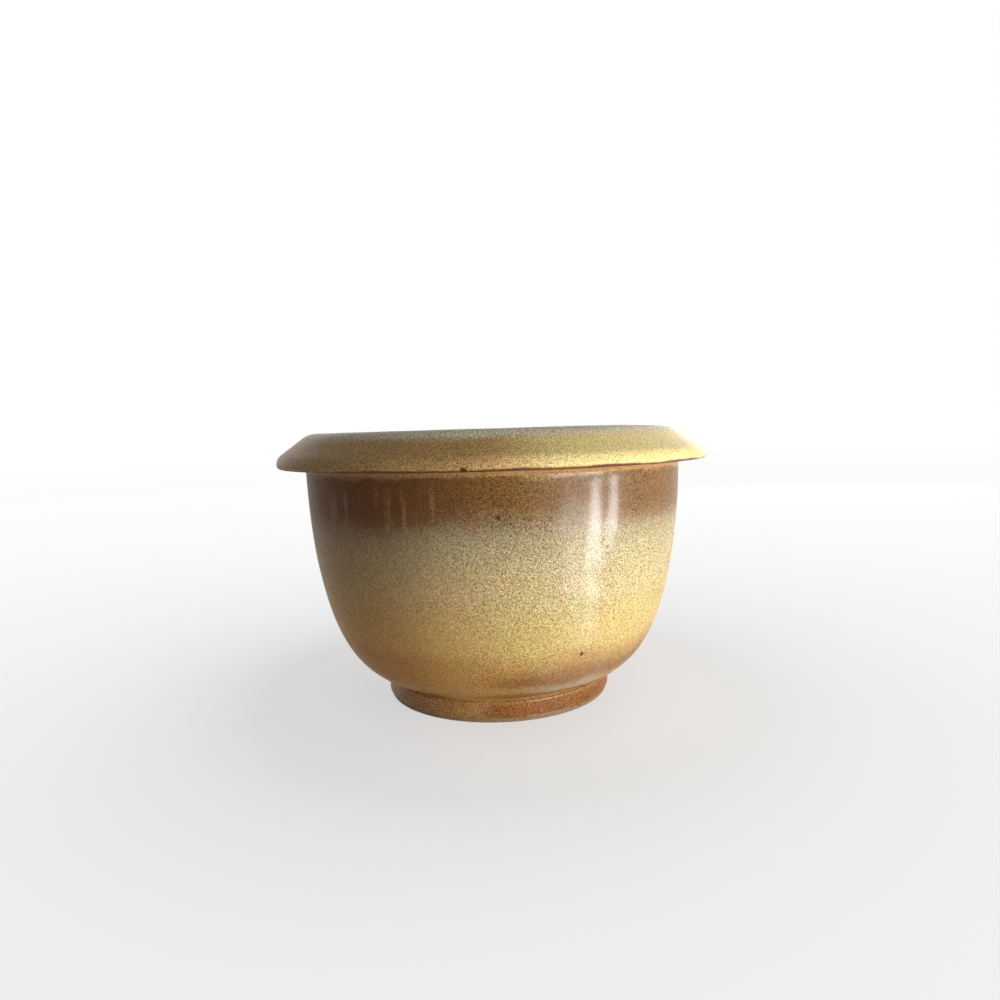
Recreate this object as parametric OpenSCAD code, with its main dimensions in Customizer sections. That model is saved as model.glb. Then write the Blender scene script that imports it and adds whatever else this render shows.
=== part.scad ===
// Wheel-thrown stoneware bowl with a sloping collar and a low turned foot, in millimetres.
// The origin is the centre of the foot's resting face, +Z is up the axis of the bowl.
// Every piece is a ring or a bowl about that axis, drawn as an outline of radius and height.

/* [Bowl] */
// Height from the resting face to the crown of the collar
bowl_h = 55; // [48:0.5:64]
// Outside radius of the glazed wall just under the collar
wall_r = 38.4; // [35:0.1:44]
// Thickness of the wall under the collar, glaze included
wall_t = 4; // [3:0.1:5.5]
// Thickness of the floor, glaze included
floor_t = 4.8; // [3.5:0.1:7]
// Share of the wall's drop over which it still stands upright
wall_upright = 0.1; // [0.05:0.01:0.4]
// Share of the belly's reach past the foot that lies low before it turns up
belly_fullness = 0.98; // [0.7:0.01:1.1]
// Slope of the belly's underside where it meets the groove above the foot, in degrees
belly_slope = 11; // [4:1:25]
// Share of the floor's radius over which the belly's slope eases into the floor
floor_ease = 0.2; // [0.1:0.01:0.35]
// Share of the floor's radius that lies nearly level in the middle
floor_level = 0.5; // [0.3:0.01:0.6]

/* [Collar] */
// Reach of the lip past the wall
collar_reach = 5.6; // [4.8:0.1:9]
// Height from the underside of the lip to the crown
collar_h = 6.8; // [6:0.1:10]
// Radius of the lip's upper side, where the slope turns down to the edge
lip_round = 2.3; // [1.4:0.1:2.8]
// Radius of the lip's lower edge
lip_edge = 0.9; // [0.7:0.05:1.3]
// Radius of the shoulder between the slope and the crown
shoulder_round = 4.6; // [3:0.1:5.5]
// Width of the crown between the shoulder and the mouth's edge
crown_w = 0.3; // [0.1:0.05:1]
// Radius of the mouth's round inner edge
mouth_round = 1.4; // [0.8:0.1:1.8]
// Radius of the cove between the wall and the collar's underside
collar_cove = 1; // [0.5:0.1:1.8]

/* [Foot] */
// Outside radius of the bare foot ring
foot_r = 23; // [20:0.1:28]
// Height of the foot ring, up to the groove under the belly
foot_h = 4.2; // [3:0.1:7]
// Width of the foot ring from its outside to the hollow in it
foot_w = 5; // [3.5:0.1:8]
// Depth of the turned groove between the foot and the belly
groove_depth = 0.45; // [0.2:0.05:0.8]
// Radius of the hollow that runs from the groove to the belly
groove_round = 1; // [0.5:0.1:2]
// Height of the clay left bare at the bottom of the foot
bare_h = 0.9; // [0.5:0.1:1.5]
// Bevel on the two bottom edges of the foot ring
foot_bevel = 0.3; // [0.1:0.05:0.45]

/* [Glaze] */
// Thickness of every glaze coat
glaze_t = 0.4; // [0.2:0.05:0.6]

/* [Hidden] */

$fn = 120;
// Straight steps along each small round, and along the belly or the floor
round_steps = 12;
curve_steps = 40;

CLAY = "#c3a57f";
OLIVE_GLAZE = "#b39d68";
BROWN_GLAZE = "#8a6238";
LINER_GLAZE = "#a08a58";

// Heights of the seams, from the top down
lip_z = bowl_h - collar_h;
wall_top_z = lip_z - collar_cove;
mouth_z = bowl_h - mouth_round;
floor_z = foot_h + floor_t;

// Radii of the mouth, the crown, the lip and the groove's clay
mouth_r = wall_r - wall_t;
crown_r = mouth_r + mouth_round + crown_w;
lip_r = wall_r + collar_reach;
neck_r = foot_r - groove_depth;

// Centres of the rounds, each shared by the glaze's surface and the clay under it
lip_centre = [lip_r - lip_round, lip_z + lip_edge];
edge_centre = [lip_r - lip_edge, lip_z + lip_edge];
shoulder_centre = [crown_r, bowl_h - shoulder_round];
mouth_centre = [mouth_r + mouth_round, mouth_z];
cove_centre = [wall_r + collar_cove, wall_top_z];
groove_centre = [neck_r + glaze_t + groove_round, foot_h];

// Direction in which the collar's slope faces: the line that touches the shoulder and the lip
slope_run = lip_centre - shoulder_centre;
slope_facing = atan2(slope_run.y, slope_run.x) + acos((shoulder_round - lip_round) / norm(slope_run));

// Facing of the belly's underside at the groove, and the way it rises outwards from there
underside_up = [-sin(belly_slope), cos(belly_slope)];
underside_out = [cos(belly_slope), sin(belly_slope)];

// Curves of the glazed outside, the glazed inside and the floor, from the top down
belly_end = groove_centre + groove_round * underside_up;
floor_rim = belly_end + floor_t * underside_up;
outside_curve = bowl_curve([wall_r, wall_top_z], belly_end);
inside_curve = bowl_curve([mouth_r, wall_top_z], floor_rim);
floor_curve = [
    floor_rim,
    floor_rim - floor_ease * floor_rim.x * underside_out,
    [floor_level * floor_rim.x, floor_z],
    [0, floor_z]
];

// Control points of a wall that drops upright from its top and turns in to where it ends
function bowl_curve(top, end) = [
    top,
    top - [0, wall_upright * (top.y - end.y)],
    end + belly_fullness * (top.x - end.x) * underside_out,
    end
];

// Points along a round, from one facing to another, in degrees
function round_points(centre, radius, from, to) = [
    for (i = [0 : round_steps])
        let (facing = from + (to - from) * i / round_steps)
        centre + radius * [cos(facing), sin(facing)]
];

// Point on a cubic curve, and the direction of the curve there
function curve_point(p, t) =
    pow(1 - t, 3) * p[0] + 3 * t * pow(1 - t, 2) * p[1] + 3 * t * t * (1 - t) * p[2] + pow(t, 3) * p[3];
function curve_direction(p, t) =
    pow(1 - t, 2) * (p[1] - p[0]) + 2 * t * (1 - t) * (p[2] - p[1]) + t * t * (p[3] - p[2]);

// Point at a distance to the right of a cubic curve's direction
function beside_curve(p, t, distance) =
    let (along = curve_direction(p, t))
    curve_point(p, t) + distance * [along.y, -along.x] / norm(along);

function reversed(points) = [for (i = [len(points) - 1 : -1 : 0]) points[i]];
function after_first(points) = [for (i = [1 : len(points) - 1]) points[i]];

// Points beside a cubic curve, without its last one
function curve_points(p, distance) = [
    for (i = [0 : curve_steps - 1]) beside_curve(p, i / curve_steps, distance)
];

// Outside of wall, belly and groove at a depth under the glaze, from the top down
function wall_outside(depth) = concat(
    curve_points(outside_curve, depth),
    round_points(groove_centre, groove_round + depth, 90 + belly_slope, 180)
);

// Inside of wall, belly and floor at a depth under the glaze, from the top down to the axis
function wall_inside(depth) = concat(
    curve_points(inside_curve, -depth),
    curve_points(floor_curve, -depth),
    [[0, floor_z - depth]]
);

// Collar at a depth under the glaze, from the wall round the lip and over the crown to the mouth
function collar_outside(depth) = concat(
    round_points(cove_centre, collar_cove + depth, 180, 90),
    round_points(edge_centre, lip_edge - depth, -90, 0),
    after_first(round_points(lip_centre, lip_round - depth, 0, slope_facing)),
    round_points(shoulder_centre, shoulder_round - depth, slope_facing, 90),
    round_points(mouth_centre, mouth_round - depth, 90, 180)
);

// Clay of the foot ring's outside that the glaze covers, from the groove down
foot_shoulder = [
    [neck_r, foot_h],
    [foot_r, foot_h - groove_depth]
];

// Thrown clay: wall, belly and floor, flat on top for the collar and below for the foot
module thrown_bowl() {
    color(CLAY)
        rotate_extrude()
            polygon(concat(
                [[0, foot_h]],
                reversed(wall_outside(glaze_t)),
                wall_inside(glaze_t)
            ));
}

// Clay ring of the rim with its collar, seated on the wall
module collar_ring() {
    color(CLAY)
        rotate_extrude()
            polygon(concat(
                collar_outside(glaze_t),
                [[mouth_r + glaze_t, wall_top_z]]
            ));
}

// Clay foot ring, seated under the floor
module foot_ring() {
    hollow_r = foot_r - foot_w;
    color(CLAY)
        rotate_extrude()
            polygon(concat(
                [
                    [hollow_r, foot_h],
                    [hollow_r, foot_bevel],
                    [hollow_r + foot_bevel, 0],
                    [foot_r - foot_bevel, 0],
                    [foot_r, foot_bevel]
                ],
                reversed(foot_shoulder)
            ));
}

// Glaze on wall and belly, from under the collar to the groove
module wall_glaze() {
    color(OLIVE_GLAZE)
        rotate_extrude()
            polygon(concat(
                wall_outside(0),
                reversed(wall_outside(glaze_t))
            ));
}

// Glaze on the collar, from the wall to the mouth's inner edge
module collar_glaze() {
    color(OLIVE_GLAZE)
        rotate_extrude()
            polygon(concat(
                collar_outside(0),
                reversed(collar_outside(glaze_t))
            ));
}

// Glaze on the foot ring, with a rolled edge above the bare clay
module foot_glaze() {
    shoulder_round_centre = [neck_r + glaze_t, foot_h - groove_depth];
    rolled_edge_centre = [foot_r, bare_h + glaze_t];
    color(BROWN_GLAZE)
        rotate_extrude()
            polygon(concat(
                round_points(shoulder_round_centre, groove_depth, 90, 0),
                round_points(rolled_edge_centre, glaze_t, 0, -90),
                reversed(foot_shoulder)
            ));
}

// Glaze inside, from the mouth's edge to the middle of the floor
module liner_glaze() {
    color(LINER_GLAZE)
        rotate_extrude()
            polygon(concat(
                [[mouth_r, mouth_z]],
                wall_inside(0),
                reversed(wall_inside(glaze_t)),
                [[mouth_r + glaze_t, mouth_z]]
            ));
}

thrown_bowl();
collar_ring();
foot_ring();
wall_glaze();
collar_glaze();
foot_glaze();
liner_glaze();
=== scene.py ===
import math
from functools import cache
from typing import NamedTuple

import bmesh
import bpy
from bpy.props import FloatProperty, FloatVectorProperty, PointerProperty
from mathutils import Matrix, Vector, noise
from mathutils.geometry import interpolate_bezier


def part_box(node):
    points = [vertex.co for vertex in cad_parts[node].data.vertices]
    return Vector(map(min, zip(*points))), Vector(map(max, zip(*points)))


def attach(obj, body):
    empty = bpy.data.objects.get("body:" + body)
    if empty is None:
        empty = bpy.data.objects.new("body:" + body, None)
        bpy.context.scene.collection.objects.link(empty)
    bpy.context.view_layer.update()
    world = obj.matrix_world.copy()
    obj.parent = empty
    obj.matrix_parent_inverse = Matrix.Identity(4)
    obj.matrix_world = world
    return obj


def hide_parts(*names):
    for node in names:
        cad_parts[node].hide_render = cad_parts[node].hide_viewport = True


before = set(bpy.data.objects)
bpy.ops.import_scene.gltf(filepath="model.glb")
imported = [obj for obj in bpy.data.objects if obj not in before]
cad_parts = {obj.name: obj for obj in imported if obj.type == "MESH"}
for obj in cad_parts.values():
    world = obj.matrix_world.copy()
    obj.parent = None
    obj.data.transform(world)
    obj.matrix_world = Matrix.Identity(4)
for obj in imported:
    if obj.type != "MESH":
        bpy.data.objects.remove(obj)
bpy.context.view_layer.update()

bl_info = {
    "name": "Stoneware bowl",
    "version": (1, 0, 0),
    "blender": (4, 5, 0),
    "location": "3D View > Sidebar > Bowl",
    "description": "A wheel-thrown stoneware bowl with a sloping collar under a speckled gold glaze",
    "category": "Object",
}

WALL_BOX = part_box("wall_glaze")
COLLAR_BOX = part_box("collar_glaze")
FOOT_GLAZE_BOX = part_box("foot_glaze")
FOOT_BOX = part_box("foot_ring")
LINER_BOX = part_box("liner_glaze")
GLAZE_T = WALL_BOX[1].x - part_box("thrown_bowl")[1].x

MM = 0.001

# Faces round the bowl, and steps along each small round and along each long curve
TURN_STEPS = 200
ROUND_STEPS = 14
CURVE_STEPS = 60
# Edges that turn more than this stay crisp
CRISP_ANGLE = math.radians(38)
# Lengths under this count as none, and points of a mesh nearer than this are merged
SAME_POINT = 1e-6
MERGE = 1e-7


def length(name, description, default):
    """Property for a length of the bowl, in metres."""
    return FloatProperty(name=name, description=description, default=default, min=0, precision=5,
                         subtype="DISTANCE", unit="LENGTH")


def share(name, description, default):
    """Property for a plain factor."""
    return FloatProperty(name=name, description=description, default=default, min=0, subtype="FACTOR")


def angle(name, description, degrees):
    """Property for an angle, given in degrees."""
    return FloatProperty(name=name, description=description, default=math.radians(degrees),
                         subtype="ANGLE", unit="ROTATION")


def colour(name, description, default):
    """Property for a colour."""
    return FloatVectorProperty(name=name, description=description, default=default, min=0, max=1,
                               size=3, subtype="COLOR")


def at(radius, height):
    """Point of an outline, in the plane that is turned round the axis."""
    return Vector((radius, 0, height))


def facing(turn):
    """Direction of an outline's plane at an angle up from level."""
    return at(math.cos(turn), math.sin(turn))


class BowlSizes(bpy.types.PropertyGroup):
    """Sizes of the bowl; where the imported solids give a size, it starts from theirs."""

    bowl_h: length("Height", "From the resting face to the crown", COLLAR_BOX[1].z)
    lip_r: length("Lip radius", "From the axis to the lip's edge", COLLAR_BOX[1].x)
    wall_r: length("Wall radius", "Outside of the glaze just under the collar", WALL_BOX[1].x)
    wall_top: length("Wall top", "Height of the seam between wall and collar", WALL_BOX[1].z)
    mouth_r: length("Mouth radius", "From the axis to the glaze inside", LINER_BOX[1].x - GLAZE_T)
    mouth_z: length("Mouth height", "Height of the seam between collar and inside", LINER_BOX[1].z)
    floor_z: length("Floor height", "Height of the glazed floor inside", LINER_BOX[0].z + GLAZE_T)
    foot_h: length("Foot height", "Height of the seam between foot and belly", FOOT_BOX[1].z)
    foot_r: length("Foot radius", "Outside of the bare foot ring", FOOT_BOX[1].x)
    bare_h: length("Bare height", "Height of the clay left bare on the foot", FOOT_GLAZE_BOX[0].z)
    glaze_t: length("Glaze", "Thickness of the glaze coats", GLAZE_T)
    lip_round: length("Lip round", "Radius of the lip's upper side", 2.3 * MM)
    lip_edge: length("Lip edge", "Radius of the lip's lower edge", 0.9 * MM)
    shoulder_round: length("Shoulder round", "Radius between slope and crown", 4.6 * MM)
    mouth_round: length("Mouth round", "Radius of the mouth's edge", COLLAR_BOX[1].z - LINER_BOX[1].z)
    crown_w: length("Crown", "Level width between shoulder and mouth", 0.3 * MM)
    collar_cove: length("Collar cove", "Radius between wall and collar", 1 * MM)
    groove_depth: length("Groove depth", "Depth of the groove above the foot", 0.45 * MM)
    groove_round: length("Groove round", "Radius between groove and belly", 1 * MM)
    foot_w: length("Foot width", "Width of the foot ring", 5 * MM)
    foot_bevel: length("Foot bevel", "Bevel of the foot ring's bottom edges", 0.3 * MM)
    wall_upright: share("Wall upright", "Share of the drop that stands upright", 0.1)
    belly_fullness: share("Belly fullness", "Share of the belly's reach that lies low", 0.98)
    belly_slope: angle("Belly slope", "Slope of the belly where it meets the groove", 11)
    floor_ease: share("Floor ease", "Share of the floor that eases into the belly", 0.2)
    floor_level: share("Floor level", "Share of the floor that lies nearly level", 0.5)

    @property
    def hollow_r(self):
        return self.foot_r - self.foot_w

    @property
    def neck_r(self):
        return self.foot_r - self.groove_depth

    @property
    def lip_z(self):
        return self.wall_top + self.collar_cove

    @property
    def lip_centre(self):
        return at(self.lip_r - self.lip_round, self.lip_z + self.lip_edge)

    @property
    def shoulder_centre(self):
        return at(self.mouth_r + self.mouth_round + self.crown_w, self.bowl_h - self.shoulder_round)

    @property
    def groove_centre(self):
        return at(self.neck_r + self.glaze_t + self.groove_round, self.foot_h)

    @property
    def slope_facing(self):
        run = self.lip_centre - self.shoulder_centre
        return math.atan2(run.z, run.x) + math.acos((self.shoulder_round - self.lip_round) / run.length)

    @property
    def belly_end(self):
        return self.groove_centre + self.groove_round * facing(math.pi / 2 + self.belly_slope)

    @property
    def floor_rim(self):
        return self.belly_end + (self.floor_z - self.foot_h) * facing(math.pi / 2 + self.belly_slope)


class GlazeColours(bpy.types.PropertyGroup):
    """Colours of the fired glaze and of the clay; several of them also carry painted light and shade."""

    gold: colour("Gold", "Glaze on the belly", (0.73, 0.485, 0.235))
    # Partly painted light: brightened for bounce light from below
    gold_low_and_bounce: colour("Low gold", "Glaze low on the belly, where it runs thin, brightened with painted bounce light from below", (0.85, 0.50, 0.185))
    # Painted light: warm bounce light low on the belly at the left
    painted_bounce: colour("Painted bounce", "Painted warm bounce light above the groove at the left", (0.80, 0.42, 0.135))
    gold_pale: colour("Pale gold", "Glaze on the upper belly", (0.58, 0.41, 0.22))
    smoke: colour("Smoke", "Greyish glaze at the edge of the brown band", (0.43, 0.295, 0.165))
    brown: colour("Brown", "Thin glaze under the collar", (0.245, 0.113, 0.033))
    # This colour and the next are partly painted shade, on the brown band's left and right
    dark_brown_and_shade: colour("Dark brown", "Thinnest glaze, against the collar at the left, darkened with painted shade", (0.215, 0.083, 0.024))
    tan: colour("Tan", "Warmer glaze at the right of the brown band, darkened with painted shade", (0.245, 0.11, 0.037))
    # Partly painted shade under the lip's edge
    rust: colour("Rust", "Glaze worn thin along the lip, darkened with painted shade under its edge", (0.15, 0.06, 0.022))
    # Partly painted light: lightened against the shade under the collar, as if lit from below
    cove: colour("Cove", "Glaze gathered in the corner under the collar, lightened with painted bounce light against its shade", (0.44, 0.24, 0.095))
    # Partly painted light: it lightens the groove's shade, gives bounce light on the roll and a highlight
    # along the foot's top
    ledge_and_painted_light: colour("Ledge", "Glaze gathered in the groove and on the roll above it, with painted light there and along the foot's top", (0.56, 0.30, 0.10))
    foot_brown: colour("Foot brown", "Glaze on the foot and just above it", (0.40, 0.16, 0.04))
    olive: colour("Olive", "Glaze on the slope of the collar", (0.59, 0.43, 0.19))
    # Partly painted light and sheen on the collar's lit right
    straw_and_sheen: colour("Straw", "Thicker glaze at the right of the collar, paled with painted light and sheen", (0.90, 0.67, 0.27))
    # Partly painted shade on the collar's left
    umber_and_shade: colour("Umber", "Thinner glaze at the left of the collar, darkened with painted shade", (0.42, 0.235, 0.075))
    # Partly a painted reflection on the crown's glaze
    sage: colour("Sage", "Glaze on the crown, paled with a painted reflection", (0.68, 0.58, 0.42))
    # Partly a painted highlight along the lip
    cream: colour("Cream", "Glaze gathered near the lip, brightened with a painted highlight along the lip", (0.84, 0.56, 0.29))
    runs: colour("Runs", "Pale runs in the brown band", (0.46, 0.27, 0.16))
    iron: colour("Iron", "Burnt iron specks", (0.065, 0.035, 0.02))
    clay: colour("Clay", "Bare fired clay", (0.56, 0.40, 0.25))
    clay_dark: colour("Dark clay", "Darker grains and turned rings in the clay", (0.36, 0.235, 0.135))


class StageLook(bpy.types.PropertyGroup):
    """Camera, lamps and floor. A lamp's level is how bright it makes a white card that faces it."""

    camera_at: FloatVectorProperty(name="Camera", description="Place of the camera", unit="LENGTH",
                                   subtype="TRANSLATION", default=(0, -157.6 * MM, 54.4 * MM))
    camera_pitch: angle("Pitch", "Tilt of the camera downwards", 5.29)
    camera_yaw: angle("Yaw", "Turn of the camera to the right", 0.49)
    camera_roll: angle("Roll", "Lean of the camera", 1.69)
    lens: FloatProperty(name="Lens", description="Focal length in millimetres", default=26.71, min=1)
    key_level: share("Key", "Level of the low soft lamp at the front right", 0.585)
    top_level: share("Top", "Level of the broad soft lamp above", 0.14)
    rim_level: share("Rim", "Level of the lamp behind at the right", 0.1)
    back_level: share("Back", "Level of the low soft lamp behind", 0.4)
    side_level: share("Side", "Level of the broad soft lamp behind at the left", 0.17)
    gleam_glow: share("Gleam", "Brightness of the row of low lamps that draws the tall gleam", 16)
    room_level: share("Room", "Level of the light from all round", 0.05)
    floor_colour: colour("Floor", "Plain pale floor", (0.9, 0.9, 0.9))


class StonewareBowl(bpy.types.PropertyGroup):
    """Everything that a user can change on the bowl and its stage."""

    sizes: PointerProperty(type=BowlSizes)
    colours: PointerProperty(type=GlazeColours)
    stage: PointerProperty(type=StageLook)


# Outlines

def round_points(centre, radius, start, end):
    """Points along a round, from one facing to another."""
    turns = [start + (end - start) * i / ROUND_STEPS for i in range(ROUND_STEPS + 1)]
    return [centre + radius * facing(turn) for turn in turns]


def spread(start, end):
    """Points along a straight stretch."""
    return [start.lerp(end, i / ROUND_STEPS) for i in range(ROUND_STEPS + 1)]


def bowl_curve(sizes, top, end):
    """Points down a wall that drops upright from its top and turns in to where it ends."""
    upright = top - at(0, sizes.wall_upright * (top.z - end.z))
    low = end + sizes.belly_fullness * (top.x - end.x) * facing(sizes.belly_slope)
    return interpolate_bezier(top, upright, low, end, CURVE_STEPS)


def beside(points, distance):
    """Points at a distance to the right of an outline's direction."""
    moved = []
    for before, point, after in zip(points[:1] + points, points, points[1:] + points[-1:]):
        along = (after - before).normalized()
        moved.append(point + distance * at(along.z, -along.x))
    return moved


def joined(*stretches):
    """One outline from several, without the points that they share."""
    points = []
    for stretch in stretches:
        points += [p for p in stretch if not points or (p - points[-1]).length > SAME_POINT]
    return points


def wall_outline(sizes):
    """Outside of wall, belly and groove, from the top down."""
    wall = bowl_curve(sizes, at(sizes.wall_r, sizes.wall_top), sizes.belly_end)
    groove = round_points(sizes.groove_centre, sizes.groove_round,
                          math.pi / 2 + sizes.belly_slope, math.pi)
    return joined(wall, groove)


def collar_outline(sizes):
    """Collar from the wall round the lip and over the crown to the mouth."""
    right = math.pi / 2
    cove_centre = at(sizes.wall_r + sizes.collar_cove, sizes.wall_top)
    edge_centre = at(sizes.lip_r - sizes.lip_edge, sizes.lip_z + sizes.lip_edge)
    mouth_centre = at(sizes.mouth_r + sizes.mouth_round, sizes.mouth_z)
    cove = round_points(cove_centre, sizes.collar_cove, math.pi, right)
    edge = round_points(edge_centre, sizes.lip_edge, -right, 0)
    lip = round_points(sizes.lip_centre, sizes.lip_round, 0, sizes.slope_facing)
    shoulder = round_points(sizes.shoulder_centre, sizes.shoulder_round, sizes.slope_facing, right)
    mouth = round_points(mouth_centre, sizes.mouth_round, right, math.pi)
    under = spread(cove[-1], edge[0])
    slope = spread(lip[-1], shoulder[0])
    return joined(cove, under, edge, lip, slope, shoulder, mouth)


def liner_outline(sizes):
    """Inside from the mouth down the wall and over the floor to the axis."""
    top = at(sizes.mouth_r, sizes.wall_top)
    rim = sizes.floor_rim
    neck = spread(at(sizes.mouth_r, sizes.mouth_z), top)
    ease = rim - sizes.floor_ease * rim.x * facing(sizes.belly_slope)
    level = at(sizes.floor_level * rim.x, sizes.floor_z)
    floor = interpolate_bezier(rim, ease, level, at(0, sizes.floor_z), CURVE_STEPS)
    return joined(neck, bowl_curve(sizes, top, rim), floor)


# Meshes

def turned(points, closed=False):
    """Mesh of an outline turned round the axis; a closed outline makes a closed ring."""
    bm = bmesh.new()
    ring = [bm.verts.new(p) for p in points]
    edges = [bm.edges.new(pair) for pair in zip(ring, ring[1:])]
    if closed:
        edges.append(bm.edges.new((ring[-1], ring[0])))
    bmesh.ops.spin(bm, geom=ring + edges, cent=(0, 0, 0), axis=(0, 0, 1), dvec=(0, 0, 0),
                   angle=math.tau, steps=TURN_STEPS, use_merge=True)
    bmesh.ops.remove_doubles(bm, verts=bm.verts[:], dist=MERGE)
    bmesh.ops.recalc_face_normals(bm, faces=bm.faces[:])
    return bm


def coat(bm, thickness, unevenness):
    """Gives a glaze's face its thickness, then settles the face by a distance for each of its points."""
    moves = [(v, v.co + v.normal * unevenness(v.co)) for v in bm.verts]
    bmesh.ops.solidify(bm, geom=bm.faces[:], thickness=thickness)
    for v, place in moves:
        v.co = place


def drift(place, size):
    """Smooth uneven value from -1 to 1 that changes over a size."""
    return noise.noise(place / size)


def patchy(place, size):
    """Smooth uneven value from 0 to 1 that changes over a size."""
    return 0.5 + 0.5 * drift(place, size)


def wave(turns):
    """Smooth wave that rises from 0 to 1 and falls again in each turn."""
    return 0.5 - 0.5 * math.cos(math.tau * turns)


def ramp(value, start, end):
    """Smooth rise from 0 to 1 between two values."""
    t = min(max((value - start) / (end - start), 0), 1)
    return t * t * (3 - 2 * t)


def in_scene(name, data):
    """Object of a mesh, a camera or a lamp, in the scene."""
    made = bpy.data.objects.new(name, data)
    bpy.context.scene.collection.objects.link(made)
    return made


def mesh_object(name, bm, material):
    """Object of a mesh with one material."""
    mesh = bpy.data.meshes.new(name)
    bm.to_mesh(mesh)
    bm.free()
    mesh.materials.append(material)
    return in_scene(name, mesh)


def piece(name, bm, material, slot, *nodes):
    """Object of a mesh with its finish, which stands for nodes of the frame and rides on its body."""
    for face in bm.faces:
        face.smooth = True
    for edge in bm.edges:
        edge.smooth = edge.calc_face_angle(0) < CRISP_ANGLE
    made = mesh_object(name, bm, material)
    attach(made, "root")
    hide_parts(*nodes)


# Node trees

WHITE = (1.0, 1.0, 1.0, 1.0)


def rgba(value):
    """Colour with full cover, for a socket."""
    return (*value, 1.0)


class Wiring:
    """Adds nodes to one tree. An input takes a value or another node's output."""

    def __init__(self, tree):
        self.tree = tree

    def add(self, kind, inputs=None, **settings):
        made = self.tree.nodes.new(kind)
        for name, value in settings.items():
            setattr(made, name, value)
        for name, value in (inputs or {}).items():
            self.plug(made.inputs[name], value)
        return made

    def plug(self, socket, value):
        if isinstance(value, bpy.types.NodeSocket):
            self.tree.links.new(value, socket)
        else:
            socket.default_value = value

    def math(self, operation, *values):
        return self.add("ShaderNodeMath", dict(enumerate(values)), operation=operation).outputs[0]

    def vector_math(self, operation, *values):
        return self.add("ShaderNodeVectorMath", dict(enumerate(values)), operation=operation).outputs

    def mix(self, factor, first, second):
        inputs = {"Factor": factor, 6: first, 7: second}
        return self.add("ShaderNodeMix", inputs, data_type="RGBA").outputs[2]

    def smooth_step(self, value, start, end):
        inputs = {"Value": value, "From Min": start, "From Max": end}
        return self.add("ShaderNodeMapRange", inputs, interpolation_type="SMOOTHSTEP").outputs[0]

    def between(self, value, start, full, still_full, end):
        """Mask that rises from start to full, and falls from still_full to end."""
        return self.math("MULTIPLY", self.smooth_step(value, start, full),
                         self.smooth_step(value, end, still_full))

    def cover(self, base, colour_over, *masks):
        """Colour that covers another one by the product of masks and shares."""
        factor = masks[0]
        for mask in masks[1:]:
            factor = self.math("MULTIPLY", factor, mask)
        return self.mix(factor, base, rgba(colour_over))

    def plus(self, base, value, factor):
        """Base with a value times a factor added to it."""
        return self.math("MULTIPLY_ADD", value, factor, base)

    def noise(self, vector, scale, detail=2.0, roughness=0.5):
        inputs = {"Vector": vector, "Scale": scale, "Detail": detail, "Roughness": roughness}
        return self.add("ShaderNodeTexNoise", inputs).outputs["Fac"]

    def group(self, tree, **inputs):
        made = self.add("ShaderNodeGroup", node_tree=tree)
        for name, value in inputs.items():
            self.plug(made.inputs[name.replace("_", " ")], value)
        return made.outputs


# Grain of the glaze and its tints, and the tints of its slow mottling
GRAIN = 0.09 * MM
GRAIN_BROWN = (0.28, 0.14, 0.05)
GRAIN_CREAM = (1.66, 1.80, 1.88)
MOTTLE_GREEN = (0.97, 1.01, 0.98)
MOTTLE_PINK = (1.03, 0.99, 1.01)
# How much the bands' fine waver counts beside the slow one, and the turned rings beside the clay's grain
FINE_SHARE = 0.35
RING_SHARE = 0.8
# Iron specks: depth of the bends in their edge, and their least radius, its spread and their core, in cells
IRON_BEND = 0.4 * MM
IRON_LEAST = 0.05
IRON_SPREAD = 0.1
IRON_CORE = 0.5

SOCKETS = {"value": "NodeSocketFloat", "vector": "NodeSocketVector", "colour": "NodeSocketColor"}


def new_group(name, inputs, outputs):
    """Empty shader node group with named sockets: its wiring, its inputs and its outputs."""
    tree = bpy.data.node_groups.new(name, "ShaderNodeTree")
    for in_out, sockets in (("INPUT", inputs), ("OUTPUT", outputs)):
        for socket, kind in sockets.items():
            tree.interface.new_socket(socket, in_out=in_out, socket_type=SOCKETS[kind])
    wiring = Wiring(tree)
    return wiring, wiring.add("NodeGroupInput").outputs, wiring.add("NodeGroupOutput").inputs


# Each group is built the first time that a material asks for it

@cache
def speckle_group():
    """Fine grain of a sprayed glaze, from brown to cream, with slow mottling, and the grain's height."""
    wiring, given, out = new_group(
        "Glaze speckle", {"Vector": "vector", "Colour": "colour", "Contrast": "value"},
        {"Colour": "colour", "Height": "value"})
    cell = wiring.vector_math("SNAP", given["Vector"], (GRAIN, GRAIN, GRAIN))[0]
    grain = wiring.add("ShaderNodeTexWhiteNoise", {"Vector": cell}).outputs["Value"]
    tint = wiring.mix(wiring.smooth_step(grain, start=0.2, end=0.8), rgba(GRAIN_BROWN), rgba(GRAIN_CREAM))
    patch = wiring.smooth_step(wiring.noise(given["Vector"], scale=240), start=0.3, end=0.7)
    mottling = wiring.mix(patch, rgba(MOTTLE_GREEN), rgba(MOTTLE_PINK))
    mottled = wiring.vector_math("MULTIPLY", given["Colour"], mottling)[0]
    grained = wiring.vector_math("MULTIPLY", mottled, tint)[0]
    mixed = wiring.mix(given["Contrast"], mottled, grained)
    wiring.plug(out["Colour"], wiring.vector_math("MINIMUM", mixed, (1, 1, 1))[0])
    wiring.plug(out["Height"], grain)
    return wiring.tree


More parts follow.
